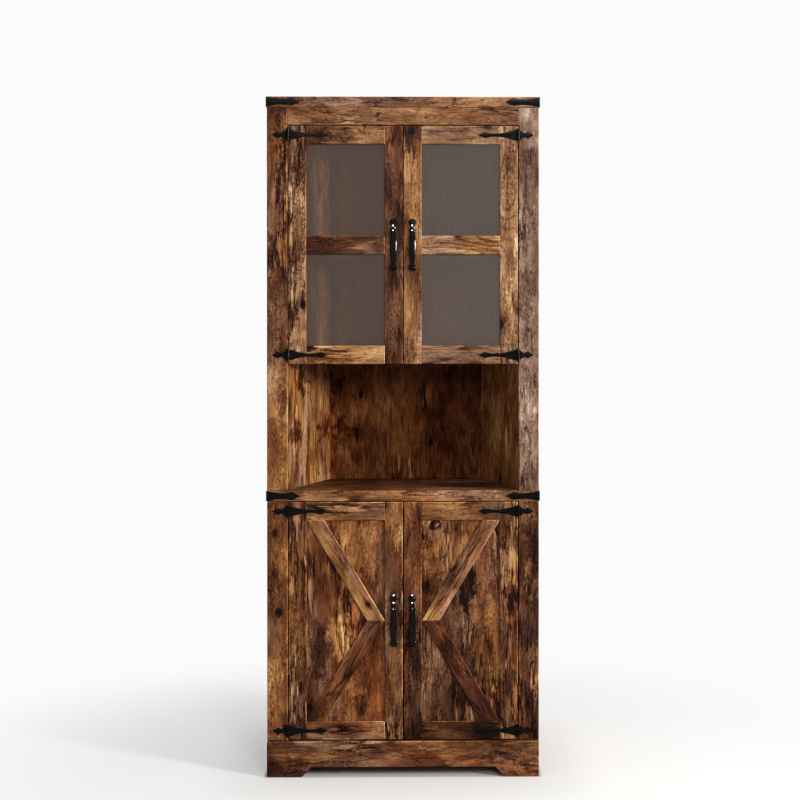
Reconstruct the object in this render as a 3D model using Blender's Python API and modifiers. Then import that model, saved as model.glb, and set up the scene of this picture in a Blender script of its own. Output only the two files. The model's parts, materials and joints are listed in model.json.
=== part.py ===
"""A farmhouse pantry cabinet: a base with two barn doors, an open niche and a glazed hutch.

Metres, +Z up, +X to the right of someone facing the cabinet, which faces -Y. The origin is on the floor,
at the middle of the whole object's box. Every piece is placed in face coordinates: x across, y backwards
from the face frame's front, z up from the floor.
"""

import math

import bmesh
import bpy
from mathutils import Matrix, Vector

NAME = "pantry_cabinet"

# Overall
WIDTH = 0.720
HEIGHT = 1.800
CARCASS_DEPTH = 0.382
HANDLE_REACH = 0.034
GAP = 0.0003
CHAMFER = 0.0015

# Board thicknesses
FRAME_T = 0.018
SIDE_T = 0.015
BACK_T = 0.012
SHELF_T = 0.015
BOTTOM_T = 0.018
SLAB_T = 0.028

# Plan of the carcass: the side panels start at the stiles' inner edges and slant in towards the back
STILE_W = 0.054
HALF_WIDTH = WIDTH / 2
HALF_OPENING = HALF_WIDTH - STILE_W
HALF_BACK = 0.219
BACK_Y = CARCASS_DEPTH - BACK_T
SLANT = math.atan2(HALF_OPENING - HALF_BACK, BACK_Y - FRAME_T)
SLAB_PROUD = 0.003
SLAB_END_Y = FRAME_T + 0.003
SLAB_HALF_BACK = 0.240

# How far each shelf's front edge lies behind the face
FIXED_SHELF_Y = FRAME_T + 0.002
UPPER_SHELF_Y = 0.040
LOWER_SHELF_Y = 0.055

# Levels
PLINTH_H = 0.0945
PLINTH_PROUD = 0.010
DOOR_H = 0.630
DOOR_Z_GAP = 0.0025
BASE_DOOR_Z = PLINTH_H + DOOR_Z_GAP
COUNTER_Z = BASE_DOOR_Z + DOOR_H + DOOR_Z_GAP
COUNTER_TOP = COUNTER_Z + SLAB_T
HUTCH_DOOR_Z = 1.093
HEADER_Z = HUTCH_DOOR_Z + DOOR_H + DOOR_Z_GAP
TOP_Z = HEIGHT - SLAB_T
UPPER_SHELF_Z = 1.375
LOWER_SHELF_Z = 0.404

# Plinth cut-out
APRON_Z = 0.0265
FOOT_INNER_X = 0.268
FOOT_SLOPE = 0.024

# Doors
SIDE_GAP = 0.0025
MEETING_GAP = 0.003
DOOR_W = HALF_OPENING - SIDE_GAP - MEETING_GAP / 2
DOOR_STILE = 0.047
DOOR_RAIL = 0.048
MIDDLE_RAIL = 0.049
REBATE = 0.007
REBATE_Y = 0.011
PANE_T = 0.004
PANE_CHAMFER = 0.0004
STRIP_T = 0.006
BRACE_T = 0.005
BRACE_W = 0.047

# Hinges: plan and height of the barrel, then the outlines of the two plates
PLATE_T = 0.002
BARREL_R = 0.0042
BARREL_H = 0.028
KNUCKLE_H = 0.010
PIN_R = 0.0016
BORE_R = 0.00175
PIN_HEAD_R = 0.0028
PIN_HEAD_H = 0.0015
PIN_OVERLAP = 0.0005
ROOT_X = 0.0047
TAB_X = 0.0012
HINGE_X = HALF_OPENING - SIDE_GAP / 2
HINGE_Y = -(GAP + BARREL_R)
LEAF_LENGTH = 0.042
STRAP_LENGTH = 0.106

# Corner brackets
BRACKET_LENGTH = 0.089
BRACKET_H = 0.027
BRACKET_RETURN = 0.018

# Bow pulls
HANDLE_CENTRES = 0.120
GRIP_R = 0.0062
ROSETTE_R = 0.010
POST_R = 0.0052
BEND_R = 0.016
COLLAR_DROP = 0.022

# Colour, roughness, metallic
RUSTIC_WOOD = (0.26, 0.13, 0.06), 0.55, 0.0
DARK_WOOD = (0.17, 0.085, 0.042), 0.6, 0.0
BLACK_IRON = (0.012, 0.012, 0.013), 0.3, 0.9
CLEAR_GLASS = (0.8, 0.82, 0.82), 0.05, 0.0


def clear_scene():
    for obj in list(bpy.data.objects):
        bpy.data.objects.remove(obj, do_unlink=True)


def new_collection(name):
    collection = bpy.data.collections.new(name)
    bpy.context.scene.collection.children.link(collection)
    return collection


def new_empty(name, location, parent=None):
    empty = bpy.data.objects.new(name, None)
    empty.location = location
    empty.parent = parent
    empty.empty_display_size = 0.05
    PARTS.objects.link(empty)
    return empty


def paint(obj, finish):
    """Gives the object a material of its own, named after it."""
    colour, roughness, metallic = finish
    material = bpy.data.materials.new(obj.name)
    material.use_nodes = True
    shader = material.node_tree.nodes["Principled BSDF"]
    shader.inputs["Base Color"].default_value = (*colour, 1.0)
    shader.inputs["Roughness"].default_value = roughness
    shader.inputs["Metallic"].default_value = metallic
    if finish is CLEAR_GLASS:
        shader.inputs["Transmission Weight"].default_value = 1.0
    if not obj.material_slots:
        obj.data.materials.append(None)
    obj.material_slots[0].link = "OBJECT"
    obj.material_slots[0].material = material


def place(obj, location, parent, finish):
    """Parents the object and puts it at a place given in face coordinates."""
    pivot = parent.location if parent.parent else Vector()
    obj.parent = parent
    obj.location = Vector(location) - pivot
    paint(obj, finish)
    return obj


def chamfer(obj, width):
    bevel = obj.modifiers.new("chamfer", "BEVEL")
    bevel.width = width
    bevel.segments = 1
    bevel.limit_method = "ANGLE"
    bevel.angle_limit = math.radians(25)


def box_mesh(name, size):
    mesh = bpy.data.meshes.new(name)
    shape = bmesh.new()
    bmesh.ops.create_cube(shape, size=1.0, matrix=Matrix.Diagonal((*size, 1.0)))
    shape.to_mesh(mesh)
    shape.free()
    return mesh


def board(name, low, high, parent, finish=RUSTIC_WOOD, edge=CHAMFER):
    """A rectangular board between two opposite corners."""
    low, high = Vector(low), Vector(high)
    obj = bpy.data.objects.new(name, box_mesh(name, high - low))
    PARTS.objects.link(obj)
    if edge:
        chamfer(obj, edge)
    return place(obj, (low + high) / 2, parent, finish)


def outline_curve(name, points, thickness):
    """A flat curve, filled and given a thickness along its own Z. A point is (x, y) for a corner or
    (x, y, "AUTO") where the outline runs smoothly through it."""
    curve = bpy.data.curves.new(name, "CURVE")
    curve.dimensions = "2D"
    curve.fill_mode = "BOTH"
    curve.extrude = thickness / 2
    curve.resolution_u = 4 if any(len(point) > 2 for point in points) else 1
    spline = curve.splines.new("BEZIER")
    spline.bezier_points.add(len(points) - 1)
    spline.use_cyclic_u = True
    for knot, (x, y, *smooth) in zip(spline.bezier_points, points):
        knot.co = (x, y, 0)
        handle = smooth[0] if smooth else "VECTOR"
        knot.handle_left_type = handle
        knot.handle_right_type = handle
    return curve


def slab(name, outline, base_z, thickness, parent, finish=RUSTIC_WOOD):
    """A board or panel with the given plan outline."""
    obj = bpy.data.objects.new(name, outline_curve(name, outline, thickness))
    PARTS.objects.link(obj)
    weld = obj.modifiers.new("weld", "WELD")
    weld.merge_threshold = 0.00001
    chamfer(obj, CHAMFER)
    return place(obj, (0, 0, base_z + thickness / 2), parent, finish)


def upright_mesh(name, outline, thickness):
    """The mesh of a flat plate whose outline is (x, z) and whose thickness lies along Y."""
    source = bpy.data.objects.new(name, outline_curve(name, outline, thickness))
    PARTS.objects.link(source)
    graph = bpy.context.evaluated_depsgraph_get()
    mesh = bpy.data.meshes.new_from_object(source.evaluated_get(graph))
    bpy.data.objects.remove(source, do_unlink=True)
    shape = bmesh.new()
    shape.from_mesh(mesh)
    bmesh.ops.remove_doubles(shape, verts=shape.verts, dist=0.00001)
    straight = math.radians(1)
    bmesh.ops.dissolve_limit(shape, angle_limit=straight, verts=shape.verts, edges=shape.edges)
    bmesh.ops.rotate(shape, verts=shape.verts, matrix=Matrix.Rotation(math.pi / 2, 3, "X"))
    bmesh.ops.recalc_face_normals(shape, faces=shape.faces)
    shape.to_mesh(mesh)
    shape.free()
    return mesh


def cylinder_mesh(name, radius, low_z, high_z, sides=12):
    mesh = bpy.data.meshes.new(name)
    shape = bmesh.new()
    middle = Matrix.Translation((0, 0, (low_z + high_z) / 2))
    bmesh.ops.create_cone(
        shape,
        cap_ends=True,
        segments=sides,
        radius1=radius,
        radius2=radius,
        depth=high_z - low_z,
        matrix=middle,
    )
    shape.to_mesh(mesh)
    shape.free()
    return mesh


def tool(name, mesh, location=(0, 0, 0)):
    """A hidden object for a Boolean to cut or join with."""
    obj = bpy.data.objects.new(name, mesh)
    obj.location = location
    obj.hide_render = True
    obj.display_type = "WIRE"
    TOOLS.objects.link(obj)
    return obj


def apply_booleans(name, mesh, steps):
    """A new mesh made from this one by Booleans: steps are (operation, tool object)."""
    work = bpy.data.objects.new(name + "_work", mesh)
    TOOLS.objects.link(work)
    for operation, other in steps:
        step = work.modifiers.new(operation, "BOOLEAN")
        step.operation = operation
        step.solver = "EXACT"
        step.object = other
    graph = bpy.context.evaluated_depsgraph_get()
    made = bpy.data.meshes.new_from_object(work.evaluated_get(graph))
    made.name = name
    for obj in [work] + [other for _, other in steps]:
        bpy.data.objects.remove(obj, do_unlink=True)
    made.materials.clear()
    made.shade_smooth()
    made.set_sharp_from_angle(angle=math.radians(30))
    return made


# ---- Carcass ----


def wall_x(y):
    """Half the clear width between the side panels, at a depth behind the face."""
    return HALF_OPENING - (y - FRAME_T) * math.tan(SLANT)


def symmetric(right_side):
    """A closed outline from its right half, listed from the front to the back."""
    return right_side + [(-x, y) for x, y in reversed(right_side)]


def shelf_outline(front_y, clearance=GAP):
    back_y = BACK_Y - GAP
    return symmetric([(wall_x(front_y) - clearance, front_y), (wall_x(back_y) - clearance, back_y)])


def cap_outline():
    """The plan of the counter and the top board: full width at the face, then tapering to the back."""
    return symmetric(
        [
            (HALF_WIDTH, -SLAB_PROUD),
            (HALF_WIDTH, SLAB_END_Y),
            (SLAB_HALF_BACK, CARCASS_DEPTH),
        ]
    )


def side_outline(side):
    front_y, back_y = FRAME_T + GAP, BACK_Y - GAP
    across = SIDE_T / math.cos(SLANT)
    corners = [
        (wall_x(front_y), front_y),
        (wall_x(front_y) + across, front_y),
        (wall_x(back_y) + across, back_y),
        (wall_x(back_y), back_y),
    ]
    return [(side * x, y) for x, y in corners]


def unit_shell(unit, low_z, high_z, parent):
    """The two stiles, two side panels and back panel of the base or of the hutch."""
    stile_low = max(low_z, PLINTH_H + GAP)
    half_back = wall_x(BACK_Y) + SIDE_T / math.cos(SLANT)
    for side, where in ((-1, "left"), (1, "right")):
        inner, outer = sorted((side * HALF_OPENING, side * HALF_WIDTH))
        board(f"{unit}_stile_{where}", (inner, 0, stile_low), (outer, FRAME_T, high_z), parent)
        height = high_z - low_z
        slab(f"{unit}_side_{where}", side_outline(side), low_z, height, parent)
    board(
        f"{unit}_back",
        (-half_back, BACK_Y, low_z),
        (half_back, CARCASS_DEPTH, high_z),
        parent,
        DARK_WOOD,
    )


def plinth(parent):
    foot_top_x = FOOT_INNER_X - FOOT_SLOPE
    outline = [
        (HALF_WIDTH, PLINTH_H),
        (HALF_WIDTH, 0),
        (FOOT_INNER_X, 0),
        (foot_top_x, APRON_Z),
    ]
    mesh = upright_mesh("plinth_board", symmetric(outline), SLAB_T)
    obj = bpy.data.objects.new("plinth_board", mesh)
    PARTS.objects.link(obj)
    chamfer(obj, CHAMFER)
    place(obj, (0, SLAB_T / 2 - PLINTH_PROUD, 0), parent, RUSTIC_WOOD)


def carcass(parent):
    unit_shell("base", 0, COUNTER_Z - GAP, parent)
    unit_shell("hutch", COUNTER_TOP + GAP, TOP_Z - GAP, parent)
    plinth(parent)
    bottom = shelf_outline(FRAME_T + GAP)
    slab("base_bottom", bottom, PLINTH_H - BOTTOM_T, BOTTOM_T, parent)
    slab("lower_shelf", shelf_outline(LOWER_SHELF_Y), LOWER_SHELF_Z, SHELF_T, parent)
    slab("counter_board", cap_outline(), COUNTER_Z, SLAB_T, parent)
    slab("fixed_shelf", shelf_outline(FIXED_SHELF_Y), HUTCH_DOOR_Z + GAP, SHELF_T, parent)
    slab("upper_shelf", shelf_outline(UPPER_SHELF_Y), UPPER_SHELF_Z, SHELF_T, parent)
    slab("top_board", cap_outline(), TOP_Z, SLAB_T, parent)
    half = HALF_OPENING - GAP
    board("header_rail", (-half, 0, HEADER_Z), (half, FRAME_T, TOP_Z - GAP), parent)


# ---- Ironwork ----


def mirrored_up(upper):
    """A closed outline from its upper half, listed from one end to the other; both ends lie on z = 0 or
    the half starts and stops at a straight edge."""
    lower = [(x, -z, *smooth) for x, z, *smooth in reversed(upper) if z > 0]
    return upper + lower


def leaf_mesh():
    """The stile's half of a hinge: a spear-shaped plate, the middle knuckle and the pin. The hinge's axis
    is Z, and the plate points to -X."""
    tab = KNUCKLE_H / 2 - GAP
    root_z = BARREL_H / 2 - GAP
    outline = mirrored_up(
        [
            (-TAB_X, tab),
            (-ROOT_X, tab),
            (-ROOT_X, root_z),
            (-0.0155, 0.0056, "AUTO"),
            (-0.0255, 0.0092),
            (-LEAF_LENGTH, 0),
        ]
    )
    plate = upright_mesh("hinge_leaf", outline, PLATE_T)
    plate.transform(Matrix.Translation((0, BARREL_R - PLATE_T / 2, 0)))
    half_knuckle = KNUCKLE_H / 2
    head_base = BARREL_H / 2 + GAP
    head_top = head_base + PIN_HEAD_H
    half_pin = head_base + PIN_OVERLAP
    steps = []
    for name, radius, low_z, high_z in (
        ("leaf_knuckle", BARREL_R, -half_knuckle, half_knuckle),
        ("leaf_pin", PIN_R, -half_pin, half_pin),
        ("leaf_pin_head", PIN_HEAD_R, head_base, head_top),
        ("leaf_pin_foot", PIN_HEAD_R, -head_top, -head_base),
    ):
        steps.append(("UNION", tool(name, cylinder_mesh(name, radius, low_z, high_z))))
    return apply_booleans("hinge_leaf", plate, steps)


def strap_mesh():
    """The door's half of a hinge: a long arrow and the two outer knuckles, bored for the pin. The arrow
    points to +X."""
    low = KNUCKLE_H / 2 + GAP
    tab = low + GAP
    root_z = BARREL_H / 2
    outline = mirrored_up(
        [
            (ROOT_X, tab),
            (TAB_X, tab),
            (TAB_X, root_z - GAP),
            (0.0065, root_z - GAP, "AUTO"),
            (0.030, 0.0078, "AUTO"),
            (0.052, 0.0046, "AUTO"),
            (0.071, 0.0046, "AUTO"),
            (0.088, 0.0084),
            (STRAP_LENGTH, 0),
        ]
    )
    plate = upright_mesh("hinge_strap", outline, PLATE_T)
    plate.transform(Matrix.Translation((0, BARREL_R - PLATE_T / 2, 0)))
    steps = []
    for operation, name, radius, low_z, high_z in (
        ("UNION", "strap_knuckle_top", BARREL_R, low, root_z),
        ("UNION", "strap_knuckle_low", BARREL_R, -root_z, -low),
        ("DIFFERENCE", "strap_bore", BORE_R, -BARREL_H, BARREL_H),
    ):
        steps.append((operation, tool(name, cylinder_mesh(name, radius, low_z, high_z))))
    return apply_booleans("hinge_strap", plate, steps)


def bracket_mesh():
    """A barbed corner bracket for the left end of a slab: the origin is the slab's front left corner."""
    front_y = -(GAP + PLATE_T)
    half_h = BRACKET_H / 2
    outline = mirrored_up(
        [
            (front_y, half_h),
            (0.034, 0.0078, "AUTO"),
            (0.056, 0.0086, "AUTO"),
            (0.066, 0.0110),
            (BRACKET_LENGTH, 0),
        ]
    )
    plate = upright_mesh("corner_bracket", outline, PLATE_T)
    plate.transform(Matrix.Translation((0, front_y + PLATE_T / 2, 0)))
    side = box_mesh("bracket_return", (PLATE_T, BRACKET_RETURN - front_y, BRACKET_H))
    centre = (front_y + PLATE_T / 2, (BRACKET_RETURN + front_y) / 2, 0)
    return apply_booleans("corner_bracket", plate, [("UNION", tool("bracket_return", side, centre))])


def shared(name, mesh, location, parent, turned=False):
    """One more copy of a piece of ironwork. Turned half round Y, a left-hand piece fits the right."""
    obj = bpy.data.objects.new(name, mesh)
    PARTS.objects.link(obj)
    if turned:
        obj.rotation_euler = (0, math.pi, 0)
    return place(obj, location, parent, BLACK_IRON)


def handle_profile():
    """(z, y, radius) along the upper half of a bow pull, from its rosette on the door to the middle."""
    post_z = HANDLE_CENTRES / 2
    grip_y = -(HANDLE_REACH - GRIP_R)
    bend_y = grip_y + BEND_R
    profile = [
        (post_z, -GAP, ROSETTE_R),
        (post_z, -0.0026, ROSETTE_R),
        (post_z, -0.0036, 0.75 * ROSETTE_R),
        (post_z, -0.0060, POST_R),
    ]
    steps = 4
    for step in range(steps + 1):
        angle = math.pi / 2 * step / steps
        z = post_z - BEND_R * (1 - math.cos(angle))
        profile.append((z, bend_y - BEND_R * math.sin(angle), POST_R))
    collar_z = post_z - COLLAR_DROP
    profile += [
        (collar_z + 0.0030, grip_y, POST_R),
        (collar_z + 0.0018, grip_y, GRIP_R),
        (collar_z - 0.0018, grip_y, GRIP_R),
        (collar_z - 0.0030, grip_y, 0.8 * GRIP_R),
        (collar_z / 2, grip_y, 0.95 * GRIP_R),
        (0, grip_y, GRIP_R),
    ]
    return profile


def handle(name, location, parent):
    curve = bpy.data.curves.new(name, "CURVE")
    curve.dimensions = "3D"
    curve.bevel_depth = GRIP_R
    curve.bevel_resolution = 2
    curve.use_fill_caps = True
    upper = handle_profile()
    route = upper + [(-z, y, radius) for z, y, radius in reversed(upper[:-1])]
    spline = curve.splines.new("POLY")
    spline.points.add(len(route) - 1)
    for point, (z, y, radius) in zip(spline.points, route):
        point.co = (0, y, z, 1)
        point.radius = radius / GRIP_R
    obj = bpy.data.objects.new(name, curve)
    PARTS.objects.link(obj)
    return place(obj, location, parent, BLACK_IRON)


# ---- Doors ----


def door_span(side, near, far):
    """The x range of a piece that lies from near to far, counted from the door's hinge edge."""
    edge = HALF_OPENING - SIDE_GAP
    return sorted((side * (edge - near), side * (edge - far)))


def strip(name, side, near, far, low_z, high_z, pivot):
    """A strip glued on the front of a barn door's slab."""
    low_x, high_x = door_span(side, near, far)
    board(name, (low_x, 0, low_z), (high_x, STRIP_T, high_z), pivot)


def brace(name, side, low_z, high_z, top_near, pivot):
    """A diagonal strip cut level at both ends. top_near is how far its upper end is from the recess's
    hinge side; its lower end is at the other side."""
    recess = DOOR_W - 2 * DOOR_STILE - 2 * GAP
    slide = recess - BRACE_W
    bottom_near = slide - top_near
    corners = [
        (top_near, high_z),
        (top_near + BRACE_W, high_z),
        (bottom_near + BRACE_W, low_z),
        (bottom_near, low_z),
    ]
    start = HALF_OPENING - SIDE_GAP - DOOR_STILE - GAP
    middle_z = (low_z + high_z) / 2
    outline = [(side * (start - near), z - middle_z) for near, z in corners]
    obj = bpy.data.objects.new(name, upright_mesh(name, outline, BRACE_T))
    PARTS.objects.link(obj)
    chamfer(obj, CHAMFER)
    front_y = STRIP_T - BRACE_T
    place(obj, (0, front_y + BRACE_T / 2, middle_z), pivot, RUSTIC_WOOD)


def barn_door(name, side, base_z, pivot):
    top_z = base_z + DOOR_H
    low_x, high_x = door_span(side, 0, DOOR_W)
    board(
        f"{name}_slab",
        (low_x, STRIP_T + GAP, base_z),
        (high_x, FRAME_T, top_z),
        pivot,
        DARK_WOOD,
    )
    inner = DOOR_W - DOOR_STILE
    strip(f"{name}_hinge_stile", side, 0, DOOR_STILE, base_z, top_z, pivot)
    strip(f"{name}_meeting_stile", side, inner, DOOR_W, base_z, top_z, pivot)
    near, far = DOOR_STILE + GAP, inner - GAP
    strip(f"{name}_top_rail", side, near, far, top_z - DOOR_RAIL, top_z, pivot)
    strip(f"{name}_bottom_rail", side, near, far, base_z, base_z + DOOR_RAIL, pivot)
    middle = base_z + DOOR_H / 2
    slide = DOOR_W - 2 * DOOR_STILE - 2 * GAP - BRACE_W
    brace(f"{name}_upper_brace", side, middle + GAP / 2, top_z - DOOR_RAIL - GAP, 0, pivot)
    brace(f"{name}_lower_brace", side, base_z + DOOR_RAIL + GAP, middle - GAP / 2, slide, pivot)


def glass_door(name, side, base_z, pivot):
    top_z = base_z + DOOR_H
    low_x, high_x = door_span(side, 0, DOOR_W)
    open_low, open_high = door_span(side, DOOR_STILE, DOOR_W - DOOR_STILE)
    middle = base_z + DOOR_H / 2
    steps = []
    for label, low_z, high_z in (
        ("lower", base_z + DOOR_RAIL, middle - MIDDLE_RAIL / 2),
        ("upper", middle + MIDDLE_RAIL / 2, top_z - DOOR_RAIL),
    ):
        size = (open_high - open_low, 3 * FRAME_T, high_z - low_z)
        centre = ((open_low + open_high) / 2, FRAME_T / 2, (low_z + high_z) / 2)
        steps.append(("DIFFERENCE", tool(f"{name}_{label}_light", box_mesh(label, size), centre)))
    rebate_h = DOOR_H - 2 * DOOR_RAIL + 2 * REBATE
    rebate_w = open_high - open_low + 2 * REBATE
    rebate = box_mesh("rebate", (rebate_w, FRAME_T, rebate_h))
    centre_x = (open_low + open_high) / 2
    rebate_at = (centre_x, REBATE_Y + FRAME_T / 2, middle)
    steps.append(("DIFFERENCE", tool(f"{name}_rebate", rebate, rebate_at)))
    blank = box_mesh(name, (high_x - low_x, FRAME_T, DOOR_H))
    blank.transform(Matrix.Translation(((low_x + high_x) / 2, FRAME_T / 2, middle)))
    mesh = apply_booleans(f"{name}_frame", blank, steps)
    mesh.shade_flat()
    frame = bpy.data.objects.new(f"{name}_frame", mesh)
    PARTS.objects.link(frame)
    chamfer(frame, CHAMFER)
    place(frame, (0, 0, 0), pivot, RUSTIC_WOOD)
    half_w, half_h = rebate_w / 2 - GAP, rebate_h / 2 - GAP
    front = REBATE_Y + GAP
    board(
        f"{name}_pane",
        (centre_x - half_w, front, middle - half_h),
        (centre_x + half_w, front + PANE_T, middle + half_h),
        pivot,
        CLEAR_GLASS,
        PANE_CHAMFER,
    )


def hang_door(name, side, base_z, make_door, leaf, strap, root):
    """Builds one door on a pivot at its hinges' axis, and the hinges and the pull with it."""
    pivot = new_empty(f"{name}_pivot", (side * HINGE_X, HINGE_Y, 0), root)
    make_door(name, side, base_z, pivot)
    for end, z in (("top", base_z + DOOR_H - DOOR_RAIL / 2), ("bottom", base_z + DOOR_RAIL / 2)):
        where = (side * HINGE_X, HINGE_Y, z)
        shared(f"{name}_{end}_hinge_leaf", leaf, where, root, turned=side > 0)
        shared(f"{name}_{end}_hinge_strap", strap, where, pivot, turned=side > 0)
    pull_x = side * (HALF_OPENING - SIDE_GAP - DOOR_W + DOOR_STILE / 2)
    handle(f"{name}_pull", (pull_x, 0, base_z + DOOR_H / 2), pivot)


def brackets(root):
    mesh = bracket_mesh()
    for slab_name, z in (("top", TOP_Z), ("counter", COUNTER_Z)):
        for side, where in ((-1, "left"), (1, "right")):
            corner = (side * HALF_WIDTH, -SLAB_PROUD, z + SLAB_T / 2)
            shared(f"{slab_name}_bracket_{where}", mesh, corner, root, turned=side > 0)


def main():
    face_y = (HANDLE_REACH - CARCASS_DEPTH) / 2
    root = new_empty("face_plane", (0, face_y, 0))
    carcass(root)
    brackets(root)
    leaf, strap = leaf_mesh(), strap_mesh()
    for side, where in ((-1, "left"), (1, "right")):
        hang_door(f"glass_door_{where}", side, HUTCH_DOOR_Z, glass_door, leaf, strap, root)
        hang_door(f"barn_door_{where}", side, BASE_DOOR_Z, barn_door, leaf, strap, root)


clear_scene()
PARTS = new_collection(NAME)
TOOLS = new_collection(NAME + "_cutters")
main()
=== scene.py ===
"""The looks of a farmhouse pantry cabinet: reclaimed wood, black forged iron and smoky glass, built round
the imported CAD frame.

Metres, in the frame's axes: +Z up, and the cabinet faces -Y. Places come from the CAD nodes' boxes.
"""

import json
from functools import partial
from math import atan2, cos, degrees, pi, radians, sin

import bmesh
import bpy
from mathutils import Matrix, Vector

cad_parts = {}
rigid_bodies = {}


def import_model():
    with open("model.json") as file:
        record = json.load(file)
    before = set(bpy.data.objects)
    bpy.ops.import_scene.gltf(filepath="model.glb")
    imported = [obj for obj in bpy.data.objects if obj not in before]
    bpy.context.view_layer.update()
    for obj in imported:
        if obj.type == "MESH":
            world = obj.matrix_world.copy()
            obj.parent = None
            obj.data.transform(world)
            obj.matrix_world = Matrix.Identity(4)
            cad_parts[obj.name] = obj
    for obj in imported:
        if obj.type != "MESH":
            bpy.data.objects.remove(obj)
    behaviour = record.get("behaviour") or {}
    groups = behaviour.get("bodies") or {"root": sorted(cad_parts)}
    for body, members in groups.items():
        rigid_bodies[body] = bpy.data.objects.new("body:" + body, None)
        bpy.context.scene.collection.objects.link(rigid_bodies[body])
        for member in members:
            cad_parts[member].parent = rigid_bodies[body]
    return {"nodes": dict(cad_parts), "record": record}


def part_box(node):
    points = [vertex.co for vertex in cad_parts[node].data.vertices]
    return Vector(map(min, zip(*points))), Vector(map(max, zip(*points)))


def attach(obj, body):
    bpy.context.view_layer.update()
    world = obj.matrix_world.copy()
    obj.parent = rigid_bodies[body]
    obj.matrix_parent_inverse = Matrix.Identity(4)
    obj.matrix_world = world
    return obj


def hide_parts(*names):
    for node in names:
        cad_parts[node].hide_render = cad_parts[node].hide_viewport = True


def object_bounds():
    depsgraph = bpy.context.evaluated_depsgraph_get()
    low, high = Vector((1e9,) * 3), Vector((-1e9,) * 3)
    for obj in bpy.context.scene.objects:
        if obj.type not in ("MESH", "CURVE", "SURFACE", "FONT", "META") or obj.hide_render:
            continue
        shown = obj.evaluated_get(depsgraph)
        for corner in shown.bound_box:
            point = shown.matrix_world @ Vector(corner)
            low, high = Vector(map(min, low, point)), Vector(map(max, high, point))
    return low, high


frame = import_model()
CAD_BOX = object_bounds()
NODES = frame["nodes"]
BODY_OF = {node: body for body, nodes in frame["record"]["behaviour"]["bodies"].items() for node in nodes}

GAP = 0.0003
SIDES = ((-1, "left"), (1, "right"))
FACE_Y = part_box("hutch_stile_left")[0].y
FRAME_BACK_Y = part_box("hutch_stile_left")[1].y
BACKWARD = (0, 1, 0)
SHARP = radians(35)

# Ironwork, as in the CAD
PLATE_T = 0.002
PLATE_EDGE = 0.0005
BARREL_R = 0.0042
BARREL_H = 0.028
KNUCKLE_H = 0.01
PIN_R = 0.0016
BORE_R = 0.00175
HINGE_Y = FACE_Y - GAP - BARREL_R
GRIP_R = 0.0062
ROSETTE_R = 0.01
BEND_R = 0.016
COLLAR_DROP = 0.026
SCREW_H = 0.0011
SIDE_SCREW_Y = 0.009


# ---- Meshes ----


def shade(mesh):
    """Smooth shading, except across sharp edges."""
    mesh.shade_smooth()
    mesh.set_sharp_from_angle(angle=SHARP)
    return mesh


def finish_mesh(name, shape):
    """A shaded mesh from a bmesh."""
    mesh = bpy.data.meshes.new(name)
    bmesh.ops.recalc_face_normals(shape, faces=shape.faces)
    shape.to_mesh(mesh)
    shape.free()
    return shade(mesh)


def solid(name, build):
    """The mesh of what a function adds to an empty bmesh."""
    shape = bmesh.new()
    build(shape)
    return finish_mesh(name, shape)


def add_object(name, data, location=(0, 0, 0), turned=False):
    """Links a new object. Turned half round Y, a left-hand piece fits the right."""
    obj = bpy.data.objects.new(name, data)
    obj.location = location
    if turned:
        obj.rotation_euler = (0, pi, 0)
    bpy.context.scene.collection.objects.link(obj)
    return obj


def skin_rings(shape, rings):
    """Joins a row of rings of points into one closed skin with a cap at each end."""
    loops = [[shape.verts.new(point) for point in ring] for ring in rings]
    for low, high in zip(loops, loops[1:]):
        for i in range(len(low)):
            j = (i + 1) % len(low)
            shape.faces.new((low[i], low[j], high[j], high[i]))
    shape.faces.new(loops[0])
    shape.faces.new(loops[-1])


def ring(centre, across, up, radius, sides):
    """Points round a centre, in the plane of two unit vectors."""
    turns = [2 * pi * i / sides for i in range(sides)]
    return [centre + (across * cos(t) + up * sin(t)) * radius for t in turns]


def lathe(shape, profile, sides, matrix=None):
    """A turned solid about Z: the profile is (radius, z) from one end to the other."""
    matrix = matrix or Matrix.Identity(4)
    x, y = Vector((1, 0, 0)), Vector((0, 1, 0))
    rings = [ring(Vector((0, 0, z)), x, y, radius, sides) for radius, z in profile]
    skin_rings(shape, [[matrix @ point for point in points] for points in rings])


def add_box(shape, low, high):
    low, high = Vector(low), Vector(high)
    matrix = Matrix.Translation((low + high) / 2) @ Matrix.Diagonal((*(high - low), 1.0))
    bmesh.ops.create_cube(shape, size=1.0, matrix=matrix)


def box_mesh(name, low, high):
    return solid(name, lambda shape: add_box(shape, low, high))


def apply_modifiers(obj):
    """A mesh with the object's modifiers in it. The object is removed."""
    graph = bpy.context.evaluated_depsgraph_get()
    mesh = bpy.data.meshes.new_from_object(obj.evaluated_get(graph))
    bpy.data.objects.remove(obj, do_unlink=True)
    return mesh


def boolean(name, mesh, steps):
    """Joins or cuts a mesh with others in turn: steps are (operation, mesh)."""
    work = add_object(name, mesh)
    tools = []
    for operation, other in steps:
        tools.append(add_object("tool", other))
        step = work.modifiers.new(operation, "BOOLEAN")
        step.operation = operation
        step.solver = "EXACT"
        step.object = tools[-1]
    made = apply_modifiers(work)
    for tool in tools:
        bpy.data.objects.remove(tool, do_unlink=True)
    made.materials.clear()
    return shade(made)


def round_edges(obj, width, segments=2):
    bevel = obj.modifiers.new("round", "BEVEL")
    bevel.width = width
    bevel.segments = segments
    bevel.limit_method = "ANGLE"
    bevel.angle_limit = radians(30)
    return obj


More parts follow.
